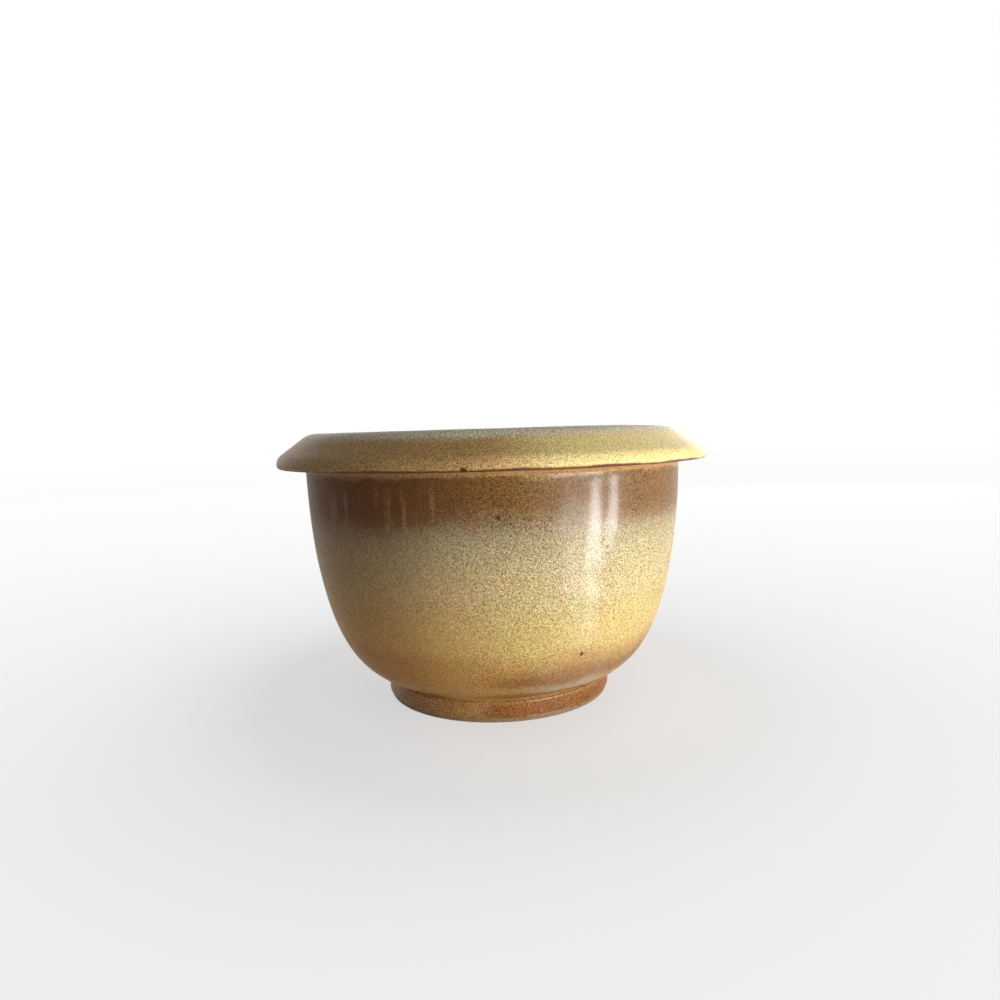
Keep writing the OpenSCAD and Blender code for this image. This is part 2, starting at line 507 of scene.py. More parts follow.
@cache
def level_group():
    """Height above the foot, with a slow waver round the bowl and a fine one."""
    wiring, given, out = new_group(
        "Wavering height", {"Vector": "vector", "Waver": "value"}, {"Height": "value"})
    height = wiring.add("ShaderNodeSeparateXYZ", {0: given["Vector"]}).outputs["Z"]
    slow = wiring.math("SUBTRACT", wiring.noise(given["Vector"], scale=75), 0.5)
    fine = wiring.math("SUBTRACT", wiring.noise(given["Vector"], scale=420), 0.5)
    both = wiring.plus(slow, fine, FINE_SHARE)
    wiring.plug(out["Height"], wiring.plus(height, both, given["Waver"]))
    return wiring.tree


@cache
def side_group():
    """Mask of one side of the bowl: 1 towards a direction, falling to 0 away from it."""
    wiring, given, out = new_group(
        "Side of the bowl",
        {"Vector": "vector", "Towards": "vector", "None At": "value", "Full At": "value"},
        {"Mask": "value"})
    level = wiring.vector_math("MULTIPLY", given["Vector"], (1, 1, 0))[0]
    outwards = wiring.vector_math("NORMALIZE", level)[0]
    towards = wiring.vector_math("DOT_PRODUCT", outwards, given["Towards"])["Value"]
    wiring.plug(out["Mask"], wiring.smooth_step(towards, given["None At"], given["Full At"]))
    return wiring.tree


@cache
def runs_group():
    """Mask of runs in the glaze: upright streaks of uneven length."""
    wiring, given, out = new_group("Glaze runs", {"Vector": "vector"}, {"Mask": "value"})
    drawn = wiring.vector_math("MULTIPLY", given["Vector"], (1, 1, 0.1))[0]
    wiring.plug(out["Mask"], wiring.smooth_step(wiring.noise(drawn, scale=620), start=0.5, end=0.64))
    return wiring.tree


@cache
def iron_group():
    """Mask of sparse iron specks of uneven size."""
    wiring, given, out = new_group(
        "Iron specks", {"Vector": "vector", "Scale": "value", "Share": "value"}, {"Mask": "value"})
    bend = wiring.add("ShaderNodeTexNoise", {"Vector": given["Vector"], "Scale": 1500}).outputs["Color"]
    bent = wiring.vector_math("MULTIPLY_ADD", bend, (IRON_BEND, IRON_BEND, IRON_BEND), given["Vector"])[0]
    cells = wiring.add("ShaderNodeTexVoronoi", {"Vector": bent, "Scale": given["Scale"]}).outputs
    chance = wiring.add("ShaderNodeSeparateColor", {0: cells["Color"]}).outputs
    chosen = wiring.math("LESS_THAN", chance["Red"], given["Share"])
    radius = wiring.plus(IRON_LEAST, chance["Green"], IRON_SPREAD)
    spot = wiring.smooth_step(cells["Distance"], radius, wiring.math("MULTIPLY", radius, IRON_CORE))
    wiring.plug(out["Mask"], wiring.math("MULTIPLY", spot, chosen))
    return wiring.tree


@cache
def turning_group():
    """Height of the fine rings that turning leaves in clay, and of its sandy grain."""
    wiring, given, out = new_group("Turned clay", {"Vector": "vector"}, {"Height": "value", "Grain": "value"})
    level = wiring.vector_math("MULTIPLY", given["Vector"], (1, 1, 0))[0]
    radius = wiring.vector_math("LENGTH", level)["Value"]
    height = wiring.add("ShaderNodeSeparateXYZ", {0: given["Vector"]}).outputs["Z"]
    place = wiring.add("ShaderNodeCombineXYZ", {"X": radius, "Y": height}).outputs[0]
    rings = wiring.noise(place, scale=2600, roughness=0.6)
    grain = wiring.noise(given["Vector"], scale=2200, detail=3.0, roughness=0.65)
    wiring.plug(out["Height"], wiring.plus(grain, rings, RING_SHARE))
    wiring.plug(out["Grain"], grain)
    return wiring.tree


# Materials

class Side(NamedTuple):
    """Side of the bowl: the direction it faces, and how near to that its mask starts and is full, as the
    cosine of the angle between them."""

    towards: tuple
    none_at: float
    full_at: float


class Glaze(NamedTuple):
    """Finish of a glaze: how far its bands waver, strength of its grain, share of its cells with an iron
    speck, and weight and roughness of its glassy coat. Grain and coat can be a node's output."""

    waver: float
    grain: float
    iron: float
    coat: float
    coat_rough: float


WALL_GLAZE = Glaze(4 * MM, 1.0, 0.16, 0.35, 0.14)
COLLAR_GLAZE = Glaze(0.9 * MM, 0.9, 0.1, 0.3, 0.17)
FOOT_GLAZE = Glaze(1.2 * MM, 1.0, 0.08, 0.35, 0.17)
LINER_GLAZE = Glaze(4 * MM, 0.8, 0.06, 0.3, 0.17)
# Where the glaze changes from side to side: on the wall, on the collar and on the foot; the band's sides, the
# bounce side, the lit side and the collar's sides carry painted light and shade
BAND_LEFT_SHADE = Side((-0.72, -0.69, 0), 0.45, 0.95)
BAND_RIGHT_SHADE = Side((0.77, -0.64, 0), 0.7, 0.95)
RUNS_SIDE = Side((-0.6, -0.8, 0), 0.88, 0.96)
BOUNCE_SIDE = Side((-0.6, -0.8, 0), 0.7, 0.95)
LIT_SIDE = Side((0.6, -0.8, 0), 0.25, 0.95)
BLURRED_SIDE = Side((-0.75, -0.66, 0), 0.6, 0.95)
WALL_DULL = Side((-0.62, -0.78, 0), 0.3, 0.6)
WALL_GLOSSY = Side((0.42, -0.907, 0), 0.94, 0.9925)
COLLAR_SHADED_LEFT = Side((-0.6, -0.8, 0), 0.55, 0.9)
COLLAR_LIT_RIGHT = Side((0.64, -0.77, 0), 0.75, 0.97)
COLLAR_DULL = Side((-0.62, -0.78, 0), -0.1, 0.6)
FOOT_LEFT = Side((-0.6, -0.8, 0), 0.82, 0.9)
# Heights on the wall where the brown band starts, the runs come and go, and the painted bounce light and weak
# grain fade
BAND_START = (36 * MM, 41 * MM)
RUNS_REACH = (33 * MM, 39 * MM, 42 * MM, 47 * MM)
BOUNCE_FADE = (18 * MM, 12 * MM)
WEAK_FADE = (26 * MM, 18 * MM)
# How much the tones of the sides, partly painted light and shade, the runs and the painted bounce light cover
# what is under them
SIDE_COVER = 0.8
RUNS_COVER = 0.6
BOUNCE_COVER = 0.85
# Painted light and shade: the wall's glaze is tinted browner and darker away from the lit side, and greener
# on it
PAINTED_SHADE_TINT = (0.88, 0.83, 0.79)
PAINTED_LIGHT_TINT = (0.91, 1.03, 1.04)
# What the grain gains where it is blurred, low or pale, and the coat where it is dull or glossy
BLURRED_GRAIN = -0.4
LOW_GRAIN = -0.2
PALE_GRAIN = -0.3
WALL_DULLNESS = -0.27
COLLAR_DULLNESS = -0.22
GLOSS = 0.65
# Roughness of glaze and clay, and what their grain adds to it
GLAZE_ROUGH = 0.35
GLAZE_GRAIN_ROUGH = 0.3
CLAY_ROUGH = 0.68
CLAY_GRAIN_ROUGH = 0.25


def emptied(block):
    """Wiring of a material's or a world's own node tree, emptied."""
    block.use_nodes = True
    block.node_tree.nodes.clear()
    return Wiring(block.node_tree)


def new_material(name):
    """Material with a shader on its output: its wiring, its shader and its object coordinates."""
    material = bpy.data.materials.new(name)
    wiring = emptied(material)
    shader = wiring.add("ShaderNodeBsdfPrincipled")
    wiring.add("ShaderNodeOutputMaterial", {"Surface": shader.outputs[0]})
    vector = wiring.add("ShaderNodeTexCoord").outputs["Object"]
    return material, wiring, shader, vector


def side_mask(wiring, vector, side):
    """Mask of a side of the bowl."""
    return wiring.group(side_group(), Vector=vector, Towards=side.towards, None_At=side.none_at,
                        Full_At=side.full_at)["Mask"]


def wavering_height(wiring, vector, glaze):
    """Height above the foot that gives a glaze's bands their uneven edges."""
    return wiring.group(level_group(), Vector=vector, Waver=glaze.waver)["Height"]


def height_colours(wiring, height, stops):
    """Colour that changes with height through stops of a height and a colour each."""
    low, high = stops[0][0], stops[-1][0]
    share_up = wiring.math("DIVIDE", wiring.math("SUBTRACT", height, low), high - low)
    node = wiring.add("ShaderNodeValToRGB", {"Fac": share_up})
    elements = node.color_ramp.elements
    while len(elements) < len(stops):
        elements.new(1.0)
    for element, (place, value) in zip(elements, stops):
        element.position = (place - low) / (high - low)
        element.color = rgba(value)
    return node.outputs["Color"]


def dress(wiring, shader, base, roughness, height, strength, depth):
    """Plugs a surface's colour, roughness and relief into its shader."""
    bump = wiring.add("ShaderNodeBump", {"Strength": strength, "Distance": depth, "Height": height})
    wiring.plug(shader.inputs["Base Color"], base)
    wiring.plug(shader.inputs["Roughness"], roughness)
    wiring.plug(shader.inputs["Normal"], bump.outputs[0])


def glaze_finish(wiring, shader, vector, base, iron, glaze):
    """Speckle, iron specks and a satin gloss under a glassy coat, over a glaze's colour."""
    grain = wiring.group(speckle_group(), Vector=vector, Colour=base, Contrast=glaze.grain)
    specks = wiring.group(iron_group(), Vector=vector, Scale=210, Share=glaze.iron)["Mask"]
    rough = wiring.plus(GLAZE_ROUGH, grain["Height"], GLAZE_GRAIN_ROUGH)
    dress(wiring, shader, wiring.cover(grain["Colour"], iron, specks), rough, grain["Height"],
          strength=0.35, depth=0.02 * MM)
    wiring.plug(shader.inputs["Specular IOR Level"], 0.04)
    wiring.plug(shader.inputs["Coat Weight"], glaze.coat)
    wiring.plug(shader.inputs["Coat Roughness"], glaze.coat_rough)


def wall_colours(wiring, vector, height, colours, sizes):
    """Bands of the wall's glaze, with the tones of its sides and the pale runs in the brown band, and painted
    light and shade: darker band sides, bounce light low on the belly, in the groove and under the collar, and
    tints for the lit and the shaded side.
    """
    foot = sizes.foot_h
    brown_top = sizes.wall_top - 0.7 * MM
    cove_from = sizes.wall_top + 0.3 * MM
    base = height_colours(wiring, height, [
        # Painted light against the groove's shade
        (foot, colours.ledge_and_painted_light),
        (foot + 0.8 * MM, colours.ledge_and_painted_light),
        (foot + 1.6 * MM, colours.foot_brown),
        (foot + 2.4 * MM, colours.foot_brown),
        # Pooled glaze on the roll above the groove, lightened with painted bounce light
        (foot + 3.2 * MM, colours.ledge_and_painted_light),
        (foot + 4.2 * MM, colours.ledge_and_painted_light),
        (foot + 5.4 * MM, colours.foot_brown),
        (10.5 * MM, colours.foot_brown),
        # Low belly brightened with painted bounce light from below
        (16.5 * MM, colours.gold_low_and_bounce),
        (20 * MM, colours.gold_low_and_bounce),
        (27 * MM, colours.gold),
        (33.5 * MM, colours.gold_pale),
        (38 * MM, colours.smoke),
        (42.5 * MM, colours.brown),
        (brown_top, colours.brown),
        # Painted bounce light in the corner under the collar
        (cove_from, colours.cove),
    ])
    band = wiring.between(height, *BAND_START, brown_top, cove_from)
    # Painted shade: the brown band darker at its left and at its right
    base = wiring.cover(base, colours.dark_brown_and_shade, side_mask(wiring, vector, BAND_LEFT_SHADE), band, SIDE_COVER)
    base = wiring.cover(base, colours.tan, side_mask(wiring, vector, BAND_RIGHT_SHADE), band, SIDE_COVER)
    streaks = wiring.group(runs_group(), Vector=vector)["Mask"]
    reach = wiring.between(height, *RUNS_REACH)
    base = wiring.cover(base, colours.runs, streaks, side_mask(wiring, vector, RUNS_SIDE), reach, RUNS_COVER)
    # Painted warm bounce light, low on the belly at the left
    low = wiring.smooth_step(height, *BOUNCE_FADE)
    base = wiring.cover(base, colours.painted_bounce, side_mask(wiring, vector, BOUNCE_SIDE), low, BOUNCE_COVER)
    # Painted light and shade: greener and paler on the lit side, browner and darker elsewhere
    painted_tint = wiring.mix(side_mask(wiring, vector, LIT_SIDE), rgba(PAINTED_SHADE_TINT), rgba(PAINTED_LIGHT_TINT))
    return wiring.vector_math("MULTIPLY", base, painted_tint)[0]


def wall_glaze_material(colours, sizes):
    """Gold glaze on the belly, brown and with pale runs under the collar, brown again at the foot."""
    material, wiring, shader, vector = new_material("Wall glaze")
    height = wavering_height(wiring, vector, WALL_GLAZE)
    base = wall_colours(wiring, vector, height, colours, sizes)
    grain = wiring.plus(WALL_GLAZE.grain, side_mask(wiring, vector, BLURRED_SIDE), BLURRED_GRAIN)
    grain = wiring.plus(grain, wiring.smooth_step(height, *WEAK_FADE), LOW_GRAIN)
    gloss = wiring.plus(WALL_GLAZE.coat, side_mask(wiring, vector, WALL_DULL), WALL_DULLNESS)
    gloss = wiring.plus(gloss, side_mask(wiring, vector, WALL_GLOSSY), GLOSS)
    glaze_finish(wiring, shader, vector, base, colours.iron, WALL_GLAZE._replace(grain=grain, coat=gloss))
    return material


def collar_glaze_material(colours, sizes):
    """Olive glaze on the collar, sage on its crown, cream near the lip and rust along its edge, with painted
    light and shade: a reflection on the crown, a highlight near the lip, shade under the edge and on the
    left, light and sheen on the right, and bounce light in the cove.
    """
    material, wiring, shader, vector = new_material("Collar glaze")
    height = wavering_height(wiring, vector, COLLAR_GLAZE)
    lip = sizes.lip_z
    base = height_colours(wiring, height, [
        # Painted bounce light in the corner under the collar
        (sizes.wall_top, colours.cove),
        (lip - 0.2 * MM, colours.cove),
        # Painted shade under the lip's edge, over thin glaze
        (lip, colours.rust),
        (lip + 0.3 * MM, colours.rust),
        # Painted highlight along the lip, over glaze gathered there
        (lip + 0.65 * MM, colours.cream),
        (lip + 1.8 * MM, colours.cream),
        (lip + 3.2 * MM, colours.olive),
        (lip + 4.6 * MM, colours.olive),
        # Crown: glaze paled with a painted reflection
        (lip + 5.8 * MM, colours.sage),
    ])
    slope = wiring.between(height, lip + 0.25 * MM, lip + 0.7 * MM, lip + 4.6 * MM, lip + 6.2 * MM)
    right = side_mask(wiring, vector, COLLAR_LIT_RIGHT)
    # Painted shade on the collar's left and painted light and sheen on its right, over thinner and thicker
    # glaze
    base = wiring.cover(base, colours.umber_and_shade, side_mask(wiring, vector, COLLAR_SHADED_LEFT), slope, SIDE_COVER)
    base = wiring.cover(base, colours.straw_and_sheen, right, slope, SIDE_COVER)
    grain = wiring.plus(COLLAR_GLAZE.grain, right, PALE_GRAIN)
    gloss = wiring.plus(COLLAR_GLAZE.coat, side_mask(wiring, vector, COLLAR_DULL), COLLAR_DULLNESS)
    glaze_finish(wiring, shader, vector, base, colours.iron, COLLAR_GLAZE._replace(grain=grain, coat=gloss))
    return material


def foot_glaze_material(colours, sizes):
    """Thin brown glaze on the foot, paler at the left and where it gathers along the top and the bottom;
    along the top the paler colour is partly a painted highlight.
    """
    material, wiring, shader, vector = new_material("Foot glaze")
    base = height_colours(wiring, wavering_height(wiring, vector, FOOT_GLAZE), [
        (sizes.bare_h, colours.ledge_and_painted_light),
        (sizes.bare_h + 0.4 * MM, colours.foot_brown),
        (sizes.foot_h - 0.7 * MM, colours.foot_brown),
        # Painted highlight along the foot's top edge
        (sizes.foot_h, colours.ledge_and_painted_light),
    ])
    base = wiring.cover(base, colours.ledge_and_painted_light, side_mask(wiring, vector, FOOT_LEFT))
    gloss = wiring.plus(FOOT_GLAZE.coat, side_mask(wiring, vector, WALL_GLOSSY), GLOSS)
    glaze_finish(wiring, shader, vector, base, colours.iron, FOOT_GLAZE._replace(coat=gloss))
    return material


def liner_glaze_material(colours, sizes):
    """Gold glaze inside, brown near the mouth and olive where it pools on the floor."""
    material, wiring, shader, vector = new_material("Liner glaze")
    base = height_colours(wiring, wavering_height(wiring, vector, LINER_GLAZE), [
        (sizes.floor_z, colours.olive),
        (sizes.floor_z + 4 * MM, colours.gold),
        (30 * MM, colours.gold_pale),
        (41 * MM, colours.smoke),
        (47 * MM, colours.brown),
        (sizes.mouth_z, colours.brown),
    ])
    glaze_finish(wiring, shader, vector, base, colours.iron, LINER_GLAZE)
    return material


def clay_material(colours):
    """Bare fired clay with turned rings, sandy grain and a few iron specks."""
    material, wiring, shader, vector = new_material("Bare clay")
    clay = wiring.group(turning_group(), Vector=vector)
    tone = wiring.smooth_step(clay["Height"], start=0.75, end=1.1)
    base = wiring.mix(tone, rgba(colours.clay_dark), rgba(colours.clay))
    specks = wiring.group(iron_group(), Vector=vector, Scale=320, Share=0.12)["Mask"]
    rough = wiring.plus(CLAY_ROUGH, clay["Grain"], CLAY_GRAIN_ROUGH)
    dress(wiring, shader, wiring.cover(base, colours.iron, specks), rough, clay["Height"],
          strength=0.5, depth=0.06 * MM)
    return material


def clay_finish(colours):
    """The clay's one material, shared by its three pieces."""
    return bpy.data.materials.get("Bare clay") or clay_material(colours)


# Operators

class BOWL_OT_thrown_clay(bpy.types.Operator):
    """Throws the clay of wall, belly and floor, and turns a spiral into its underside"""

    bl_idname = "bowl.thrown_clay"
    bl_label = "Thrown clay"

    spiral_pitch = 1.7 * MM
    spiral_depth = 0.16 * MM

    def execute(self, context):
        look = context.scene.stoneware_bowl
        sizes = look.sizes
        hollow = [at(sizes.hollow_r * i / CURVE_STEPS, sizes.foot_h) for i in range(CURVE_STEPS + 1)]
        outside = beside(wall_outline(sizes), sizes.glaze_t)[::-1]
        outside[0] = at(sizes.neck_r, sizes.foot_h)
        outside[-1] = at(sizes.wall_r - sizes.glaze_t, sizes.wall_top)
        inside = [p for p in beside(liner_outline(sizes), -sizes.glaze_t) if p.z < sizes.wall_top]
        inside[-1] = at(0, sizes.floor_z - sizes.glaze_t)
        top = [at(sizes.mouth_r + sizes.glaze_t, sizes.wall_top)]
        bm = turned(joined(hollow, outside, top, inside))
        for v in bm.verts:
            radius = v.co.xy.length
            if v.co.z < sizes.foot_h + SAME_POINT and radius < sizes.hollow_r:
                v.co.z += self.spiral(v.co, radius, sizes.hollow_r)
        piece("thrown_clay", bm, clay_finish(look.colours), "clay", "thrown_bowl")
        return {"FINISHED"}

    def spiral(self, place, radius, hollow_r):
        """Depth of the turned spiral, which fades at the axis and against the foot."""
        turns = radius / self.spiral_pitch - math.atan2(place.y, place.x) / math.tau
        fade = ramp(radius, 0, 2 * self.spiral_pitch) * ramp(radius, hollow_r, hollow_r - self.spiral_pitch)
        return self.spiral_depth * fade * wave(turns)


class BOWL_OT_collar_clay(bpy.types.Operator):
    """Gives the collar's clay, which the glaze covers, the finish of the rest"""

    bl_idname = "bowl.collar_clay"
    bl_label = "Collar clay"

    def execute(self, context):
        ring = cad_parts["collar_ring"]
        ring.material_slots[0].material = clay_finish(context.scene.stoneware_bowl.colours)
        return {"FINISHED"}


class BOWL_OT_foot_clay(bpy.types.Operator):
    """Turns the clay foot ring, with soft bottom edges and fine rings in its resting face"""

    bl_idname = "bowl.foot_clay"
    bl_label = "Foot clay"

    bevel_steps = 4
    ring_count = 8
    ring_cuts = 47
    ring_depth = 0.06 * MM

    def execute(self, context):
        look = context.scene.stoneware_bowl
        sizes = look.sizes
        bm = turned([
            at(sizes.hollow_r, sizes.foot_h),
            at(sizes.hollow_r, 0),
            at(sizes.foot_r, 0),
            at(sizes.foot_r, sizes.foot_h - sizes.groove_depth),
            at(sizes.neck_r, sizes.foot_h),
        ], closed=True)
        low_edges = [e for e in self.bottom_edges(bm) if self.reach(e) < SAME_POINT]
        bmesh.ops.bevel(bm, geom=low_edges, offset=sizes.foot_bevel, offset_type="OFFSET", affect="EDGES",
                        segments=self.bevel_steps, profile=0.5, material=-1)
        self.turn_rings(bm, sizes)
        piece("foot_clay", bm, clay_finish(look.colours), "clay", "foot_ring")
        return {"FINISHED"}

    def bottom_edges(self, bm):
        """Edges that lie in the resting face."""
        return [e for e in bm.edges if max(v.co.z for v in e.verts) < SAME_POINT]

    def reach(self, edge):
        """How far an edge reaches across the ring, away from the axis."""
        start, end = edge.verts
        return abs(start.co.xy.length - end.co.xy.length)

    def turn_rings(self, bm, sizes):
        """Cuts shallow rings into the face that the bowl rests on."""
        face_r = sizes.hollow_r + sizes.foot_bevel
        face_w = sizes.foot_w - 2 * sizes.foot_bevel
        across = [e for e in self.bottom_edges(bm) if self.reach(e) > face_w / 2]
        cut = bmesh.ops.subdivide_edges(bm, edges=across, cuts=self.ring_cuts, use_grid_fill=True)
        for v in {g for g in cut["geom_inner"] if isinstance(g, bmesh.types.BMVert)}:
            rings = (v.co.xy.length - face_r) / face_w * self.ring_count
            v.co.z += self.ring_depth * wave(rings)


class BOWL_OT_wall_glaze(bpy.types.Operator):
    """Coats wall and belly, slightly uneven, with a roll of glaze gathered above the groove"""

    bl_idname = "bowl.wall_glaze"
    bl_label = "Wall glaze"

    sag = 0.1 * MM
    sag_size = 9 * MM
    sag_fade = 3 * MM
    # The roll: its height, its even part and how that changes, and where above the foot it is full and ends
    roll = 0.22 * MM
    roll_even = 0.6
    roll_change = 0.8
    roll_size = 5 * MM
    roll_full = 0.8 * MM
    roll_still_full = 1.4 * MM
    roll_end = 3 * MM

    def execute(self, context):
        look = context.scene.stoneware_bowl
        sizes = look.sizes
        foot = sizes.foot_h

        def unevenness(place):
            settled = self.sag * patchy(place, self.sag_size)
            settled *= ramp(place.z, sizes.wall_top, sizes.wall_top - self.sag_fade)
            gathered = ramp(place.z, foot + self.roll_end, foot + self.roll_still_full)
            gathered *= ramp(place.z, foot, foot + self.roll_full)
            thickness = self.roll_even + self.roll_change * drift(place, self.roll_size)
            return self.roll * gathered * thickness - settled

        bm = turned(wall_outline(sizes))
        coat(bm, sizes.glaze_t, unevenness)
        piece("wall_glaze_coat", bm, wall_glaze_material(look.colours, sizes), "wall_glaze", "wall_glaze")
        return {"FINISHED"}


class BOWL_OT_collar_glaze(bpy.types.Operator):
    """Coats the collar from the wall over lip, slope and crown to the mouth"""

    bl_idname = "bowl.collar_glaze"
    bl_label = "Collar glaze"

    sag = 0.09 * MM
    sag_size = 8 * MM
    sag_fade = 2 * MM

    def execute(self, context):
        look = context.scene.stoneware_bowl
        sizes = look.sizes

        def unevenness(place):
            fade = ramp(place.z, sizes.wall_top, sizes.wall_top + self.sag_fade)
            return -self.sag * fade * patchy(place, self.sag_size)

        bm = turned(collar_outline(sizes))
        coat(bm, sizes.glaze_t, unevenness)
        material = collar_glaze_material(look.colours, sizes)
        piece("collar_glaze_coat", bm, material, "collar_glaze", "collar_glaze")
        return {"FINISHED"}


class BOWL_OT_foot_glaze(bpy.types.Operator):
    """Coats the outside of the foot down to an uneven rolled edge above the bare clay"""

    bl_idname = "bowl.foot_glaze"
    bl_label = "Foot glaze"

    waver = 0.3 * MM
    waver_size = 6 * MM

    def execute(self, context):
        look = context.scene.stoneware_bowl
        sizes = look.sizes
        shoulder = at(sizes.neck_r + sizes.glaze_t, sizes.foot_h - sizes.groove_depth)
        rolled = at(sizes.foot_r, sizes.bare_h + sizes.glaze_t)
        top_round = round_points(shoulder, sizes.groove_depth, math.pi / 2, 0)
        low_round = round_points(rolled, sizes.glaze_t, 0, -math.pi / 2)
        inside = [at(sizes.foot_r, shoulder.z), at(sizes.neck_r, sizes.foot_h)]
        bm = turned(joined(top_round, spread(top_round[-1], low_round[0]), low_round, inside), closed=True)
        for v in bm.verts:
            low = ramp(v.co.z, shoulder.z, rolled.z)
            v.co.z += self.waver * low * drift(v.co, self.waver_size)
        piece("foot_glaze_coat", bm, foot_glaze_material(look.colours, sizes), "foot_glaze", "foot_glaze")
        return {"FINISHED"}


class BOWL_OT_liner_glaze(bpy.types.Operator):
    """Coats the inside, over the rising spiral that throwing left in the clay"""

    bl_idname = "bowl.liner_glaze"
    bl_label = "Liner glaze"

    ring_pitch = 6.5 * MM
    ring_depth = 0.2 * MM
    ring_inner_r = 2 * MM
    ring_top = 36 * MM
    sag = 0.08 * MM
    sag_size = 9 * MM

    def execute(self, context):
        look = context.scene.stoneware_bowl
        sizes = look.sizes

        def unevenness(place):
            radius = place.xy.length
            turns = (place.z - radius) / self.ring_pitch - math.atan2(place.y, place.x) / math.tau
            fade = ramp(radius, self.ring_inner_r, self.ring_pitch)
            fade *= ramp(place.z, sizes.wall_top, self.ring_top)
            settled = self.sag * patchy(place, self.sag_size) * ramp(place.z, sizes.mouth_z, sizes.wall_top)
            return -self.ring_depth * fade * wave(turns) - settled

        bm = turned(liner_outline(sizes))
        bmesh.ops.reverse_faces(bm, faces=bm.faces[:])
        coat(bm, sizes.glaze_t, unevenness)
        piece("liner_glaze_coat", bm, liner_glaze_material(look.colours, sizes), "liner_glaze", "liner_glaze")
        return {"FINISHED"}


class BOWL_OT_stage(bpy.types.Operator):
    """Sets the camera, the soft lamps, the room and a plain pale floor"""

    bl_idname = "bowl.stage"
    bl_label = "Stage"

    sensor_w = 36
    clip_start = 10 * MM
    # Point that the soft lamps face, half way up the bowl
    aim = Vector((0, 0, 28 * MM))
    # Soft lamps: name, place, width and height, and the property that holds the level
    soft_lamps = (
        ("Key lamp", (0.366, -0.341, 0.075), (0.3, 0.14), "key_level"),
        ("Top lamp", (0.2, -0.2, 0.5), (0.35, 0.35), "top_level"),
        ("Rim lamp", (0.38, 0.32, 0.35), (0.5, 0.3), "rim_level"),
        ("Back lamp", (0.15, 0.5, 0.12), (0.5, 0.2), "back_level"),
        ("Side lamp", (-0.45, 0.5, 0.2), (0.8, 0.35), "side_level"),
    )
    gleam_lift = 1 * MM
    sheen_lift = 0.5 * MM
    # Row of low lamps beside the bowl: start, end, width and share of the glow
    gleam_row = (
        ((0.036, -0.036), (0.052, -0.047), 0.0075, 0.1),
        ((0.052, -0.047), (0.083, -0.067), 0.0105, 0.24),
        ((0.083, -0.067), (0.140, -0.100), 0.0195, 0.58),
        ((0.140, -0.100), (0.230, -0.149), 0.026, 1.0),
        ((0.230, -0.149), (0.290, -0.180), 0.030, 1.1),
        ((0.110, -0.060), (0.150, -0.072), 0.014, 0.4),
        ((0.150, -0.072), (0.400, -0.140), 0.025, 0.7),
    )
    # Broader and dimmer lamps beside the row, for the soft sheen round the gleam
    sheen_row = (
        ((0.028, -0.035), (0.050, -0.058), 0.014, 0.08),
        ((0.050, -0.058), (0.105, -0.115), 0.030, 0.18),
        ((0.105, -0.115), (0.200, -0.205), 0.070, 0.26),
    )
    # Floor: its radius and sides, its drop under the foot, and how far and how much it shows shade
    floor_r = 1.5
    floor_sides = 96
    floor_drop = 0.05 * MM
    shade_r = 0.05
    shade_share = 0.4

    def execute(self, context):
        look = context.scene.stoneware_bowl.stage
        self.set_camera(context, look)
        for name, place, size, level in self.soft_lamps:
            self.soft_lamp(name, Vector(place), size, getattr(look, level))
        for name, row, lift in (("Gleam lamp", self.gleam_row, self.gleam_lift),
                                ("Sheen lamp", self.sheen_row, self.sheen_lift)):
            for start, end, width, part in row:
                glow = part * look.gleam_glow
                self.low_lamp(name, Vector((*start, lift)), Vector((*end, lift)), width, glow)
        self.set_room(context, look)
        self.lay_floor(look)
        context.scene.view_settings.view_transform = "Standard"
        return {"FINISHED"}

    def set_camera(self, context, look):
        """Camera at the photograph's place and angle."""
        data = bpy.data.cameras.new("Camera")
        data.lens = look.lens
        data.sensor_width = self.sensor_w
        data.clip_start = self.clip_start
        camera = in_scene("Camera", data)
        turn = (Matrix.Rotation(-look.camera_yaw, 4, "Z")
                @ Matrix.Rotation(math.pi / 2 - look.camera_pitch, 4, "X")
                @ Matrix.Rotation(-look.camera_roll, 4, "Z"))
        camera.matrix_world = Matrix.Translation(look.camera_at) @ turn
        context.scene.camera = camera

    def add_lamp(self, name, size, power):
        """Rectangular lamp of a size and a power."""
        data = bpy.data.lights.new(name, "AREA")
        data.shape = "RECTANGLE"
        data.size, data.size_y = size
        data.energy = power
        return in_scene(name, data)

    def soft_lamp(self, name, place, size, level):
        """Lamp that faces the bowl and lights a white card there to a level."""
        run = self.aim - place
        lamp = self.add_lamp(name, size, level * math.pi ** 2 * run.length_squared)
        lamp.matrix_world = Matrix.Translation(place) @ run.to_track_quat("-Z", "Y").to_matrix().to_4x4()

    def low_lamp(self, name, start, end, width, glow):
        """Lamp that lies on the floor beside the bowl, faces up and has a face of even brightness."""
        run = end - start
        lamp = self.add_lamp(name, (width, run.length), glow * math.pi * width * run.length)
        turn = Matrix.Rotation(math.atan2(-run.x, run.y), 4, "Z") @ Matrix.Rotation(math.pi, 4, "Y")
        lamp.matrix_world = Matrix.Translation((start + end) / 2) @ turn

    def set_room(self, context, look):
        """Dim light from all round, behind a white background."""
        world = bpy.data.worlds.new("Room")
        wiring = emptied(world)
        dim = wiring.add("ShaderNodeBackground", {"Color": WHITE, "Strength": look.room_level})
        white = wiring.add("ShaderNodeBackground", {"Color": WHITE, "Strength": 1.0})
        mixed = wiring.add("ShaderNodeMixShader",
                           {0: seen_rays(wiring), 1: dim.outputs[0], 2: white.outputs[0]})
        wiring.add("ShaderNodeOutputWorld", {"Surface": mixed.outputs[0]})
        context.scene.world = world

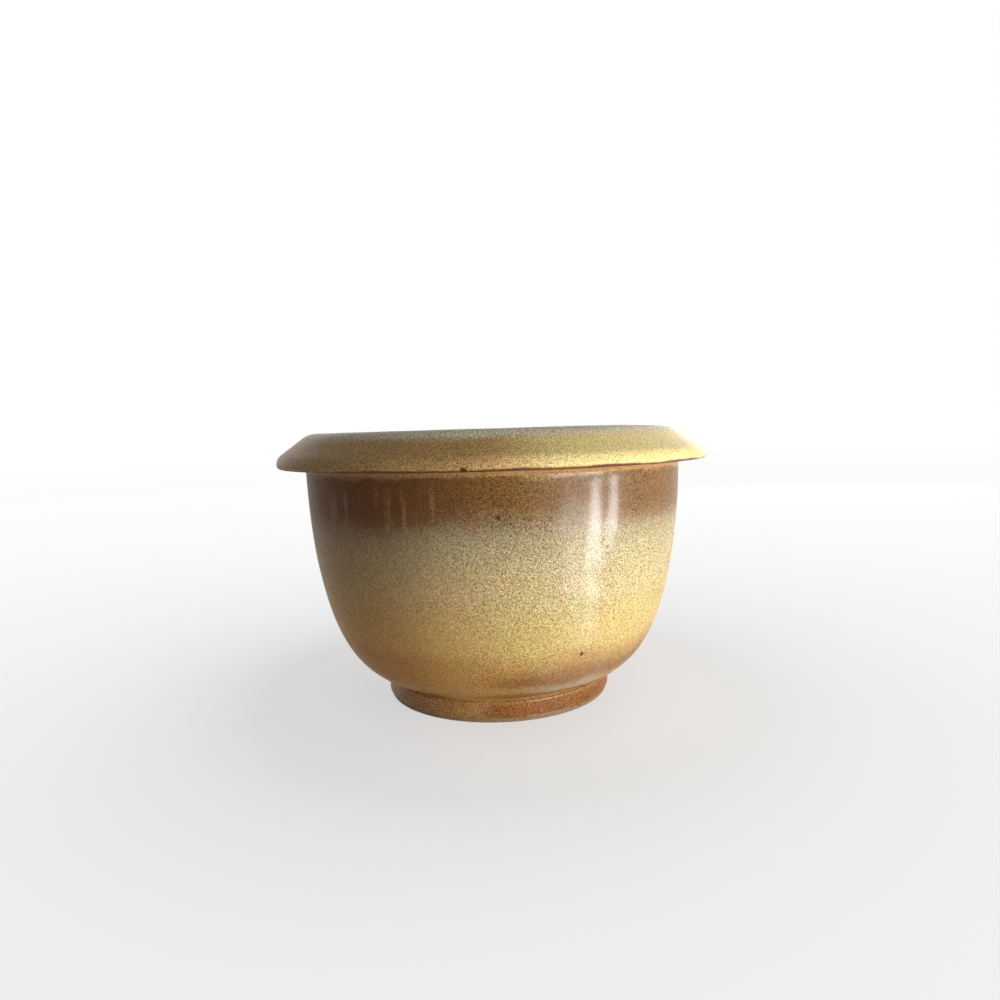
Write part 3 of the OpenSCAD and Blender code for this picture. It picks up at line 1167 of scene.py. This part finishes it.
    def lay_floor(self, look):
        """Round floor that keeps the bowl's shadow and fades to the white background."""
        bm = bmesh.new()
        bmesh.ops.create_circle(bm, cap_ends=True, radius=self.floor_r, segments=self.floor_sides)
        bmesh.ops.translate(bm, verts=bm.verts[:], vec=(0, 0, -self.floor_drop))
        floor = mesh_object("floor", bm, self.floor_material(look))

    def floor_material(self, look):
        """Matt pale floor, lifted to white away from the bowl where it is seen."""
        material = bpy.data.materials.new("Floor")
        wiring = emptied(material)
        vector = wiring.add("ShaderNodeTexCoord").outputs["Object"]
        distance = wiring.vector_math("LENGTH", vector)["Value"]
        near = wiring.math("MINIMUM", wiring.math("DIVIDE", self.shade_r, distance), 1.0)
        lift = wiring.plus(1.0, near, -self.shade_share)
        matt = wiring.add("ShaderNodeBsdfDiffuse", {"Color": rgba(look.floor_colour)})
        white = wiring.add("ShaderNodeEmission", {"Strength": 1.0})
        factor = wiring.math("MULTIPLY", lift, seen_rays(wiring))
        mixed = wiring.add("ShaderNodeMixShader", {0: factor, 1: matt.outputs[0], 2: white.outputs[0]})
        wiring.add("ShaderNodeOutputMaterial", {"Surface": mixed.outputs[0]})
        return material


def seen_rays(wiring):
    """1 for what the camera sees straight, mirrored or through glass, and 0 for light on the object."""
    path = wiring.add("ShaderNodeLightPath").outputs
    mirrored = wiring.math("MAXIMUM", path["Is Glossy Ray"], path["Is Transmission Ray"])
    return wiring.math("MAXIMUM", path["Is Camera Ray"], mirrored)


class BOWL_PT_sidebar(bpy.types.Panel):
    """Lists the bowl's pieces, sizes and colours"""

    bl_idname = "BOWL_PT_sidebar"
    bl_label = "Stoneware bowl"
    bl_space_type = "VIEW_3D"
    bl_region_type = "UI"
    bl_category = "Bowl"

    def draw(self, context):
        look = context.scene.stoneware_bowl
        for operator in OPERATORS:
            self.layout.operator(operator.bl_idname)
        for heading, part in (("Sizes", look.sizes), ("Colours", look.colours), ("Stage", look.stage)):
            box = self.layout.box()
            box.label(text=heading)
            for name in part.__annotations__:
                box.prop(part, name)


OPERATORS = (BOWL_OT_thrown_clay, BOWL_OT_collar_clay, BOWL_OT_foot_clay, BOWL_OT_wall_glaze,
             BOWL_OT_collar_glaze, BOWL_OT_foot_glaze, BOWL_OT_liner_glaze, BOWL_OT_stage)
CLASSES = (BowlSizes, GlazeColours, StageLook, StonewareBowl, *OPERATORS, BOWL_PT_sidebar)


def register():
    for cls in CLASSES:
        bpy.utils.register_class(cls)
    bpy.types.Scene.stoneware_bowl = PointerProperty(type=StonewareBowl)


def unregister():
    del bpy.types.Scene.stoneware_bowl
    for cls in reversed(CLASSES):
        bpy.utils.unregister_class(cls)


def main():
    register()
    bpy.ops.bowl.thrown_clay()
    bpy.ops.bowl.collar_clay()
    bpy.ops.bowl.foot_clay()
    bpy.ops.bowl.wall_glaze()
    bpy.ops.bowl.collar_glaze()
    bpy.ops.bowl.foot_glaze()
    bpy.ops.bowl.liner_glaze()
    bpy.ops.bowl.stage()


if __name__ == "__main__":
    main()
